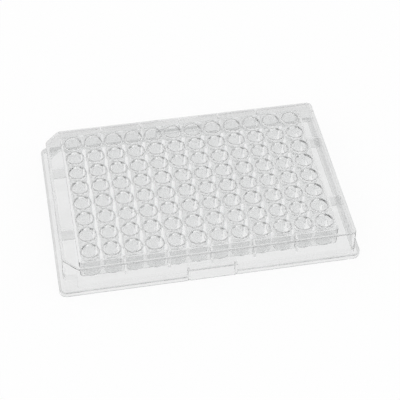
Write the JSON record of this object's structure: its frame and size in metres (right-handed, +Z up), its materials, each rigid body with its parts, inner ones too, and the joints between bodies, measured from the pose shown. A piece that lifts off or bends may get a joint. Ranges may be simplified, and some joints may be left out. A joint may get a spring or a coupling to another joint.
{
  "type": "well plate",
  "caption": "Clear plastic well plate: a grid of round flat-bottomed wells under a flat deck, with a skirt, a stepped foot and two cut corners.",
  "frame": {"origin": "centre of the footprint, on the surface that the plate stands on", "axes": "+X along the long side away from the two cut corners, +Y along the short side, +Z up out of the wells"},
  "size_m": [0.1278, 0.0854, 0.0143],
  "materials": {
    "clear_polystyrene": "gloss"
  },
  "bodies": {
    "root": {"well_plate": "clear_polystyrene"}
  },
  "joints": []
}
